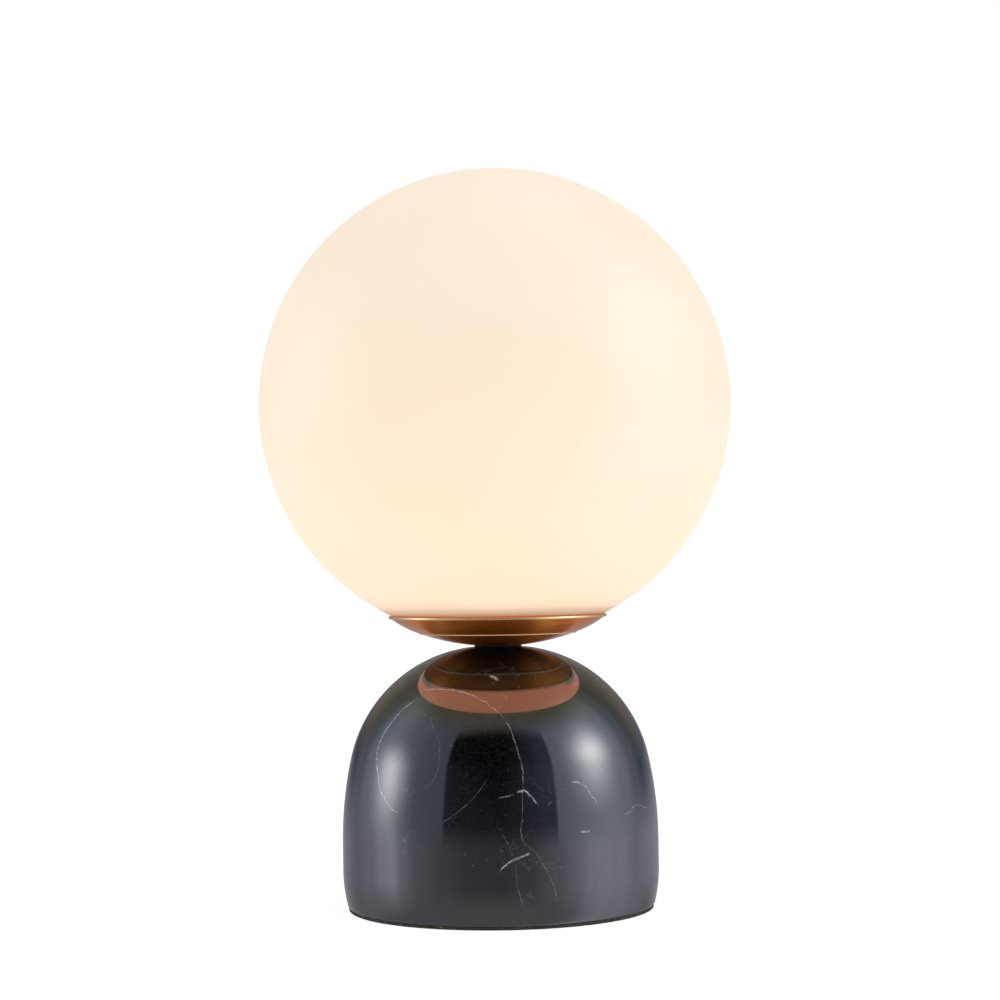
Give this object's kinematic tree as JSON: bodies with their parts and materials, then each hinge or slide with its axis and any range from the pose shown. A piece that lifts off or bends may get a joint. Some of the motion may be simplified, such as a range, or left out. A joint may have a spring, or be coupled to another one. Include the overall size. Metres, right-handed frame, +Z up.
{
  "type": "table lamp",
  "caption": "Table lamp: an opal glass globe in a shallow brass dish on a polished black marble dome, with a screw lampholder and an LED bulb inside.",
  "frame": {"origin": "centre of the underside of the felt, on the table", "axes": "+Z up along the axis of the lamp, -Y to the front, +Y to the cord outlet"},
  "size_m": [0.2, 0.2, 0.313],
  "materials": {
    "opal_glass": "matte",
    "marble": "polished",
    "felt": "matte",
    "plate_steel": "satin",
    "zinc_steel": "satin",
    "screw_steel": "satin",
    "spring_steel": "gloss",
    "turned_brass": "satin",
    "dish_brass": "satin",
    "gland_nylon": "satin",
    "fibre": "matte",
    "silicone": "satin",
    "holder_black": "satin",
    "holder_ceramic": "satin",
    "cap_nickel": "gloss",
    "cap_glass": "gloss",
    "bulb_white": "satin",
    "bulb_cover": "matte",
    "board_white": "matte",
    "board_green": "satin",
    "led_yellow": "gloss",
    "block_white": "satin",
    "wire_brown": "satin",
    "wire_blue": "satin",
    "wire_earth": "satin"
  },
  "bodies": {
    "base": {"felt_pad": "felt", "marble_base": "marble", "cover_plate": "plate_steel", "cover_screws": "screw_steel", "cover_inserts": "turned_brass", "cable_gland": "gland_nylon", "gland_nut": "gland_nylon", "stem_tube": "zinc_steel", "base_washer": "zinc_steel", "earth_tag": "zinc_steel", "base_nut": "zinc_steel", "neck_spacer": "fibre", "dish_washer": "zinc_steel", "dish_nut": "zinc_steel", "dish": "dish_brass", "glass_gasket": "silicone", "gallery_disc": "zinc_steel", "glass_springs": "spring_steel", "spring_rivets": "turned_brass", "holder_cap": "holder_black", "holder_body": "holder_black", "holder_core": "holder_ceramic", "holder_thread": "turned_brass", "centre_terminal": "turned_brass", "shell_terminal": "turned_brass", "terminal_screws": "screw_steel", "terminal_block": "block_white", "block_clamps": "turned_brass", "block_screws": "screw_steel", "block_fixing": "screw_steel", "live_lead": "wire_brown", "neutral_lead": "wire_blue", "earth_lead": "wire_earth"},
    "globe": {"glass_globe": "opal_glass"},
    "bulb_lift": {"bulb_envelope": "bulb_cover"},
    "bulb": {"bulb_contact": "zinc_steel", "bulb_insulator": "cap_glass", "bulb_cap": "cap_nickel", "bulb_driver": "board_green", "bulb_housing": "bulb_white", "bulb_board": "board_white", "bulb_leds": "led_yellow"}
  },
  "joints": [
    {"name": "globe_lift", "type": "slide", "parent": "base", "child": "globe", "axis": [0, 0, 1], "range_m": [0, 0.16]},
    {"name": "bulb_rise", "type": "slide", "parent": "base", "child": "bulb_lift", "axis": [0, 0, 1], "range_m": [0, 0.0182]},
    {"name": "bulb_turn", "type": "hinge", "parent": "bulb_lift", "child": "bulb", "pos_m": [0, 0, 0.15], "axis": [0, 0, 1], "range_deg": [0, 1800]}
  ],
  "couplings": [
    {"joint": "bulb_rise", "follows": "bulb_turn", "m_per_rad": 0.00057757}
  ]
}
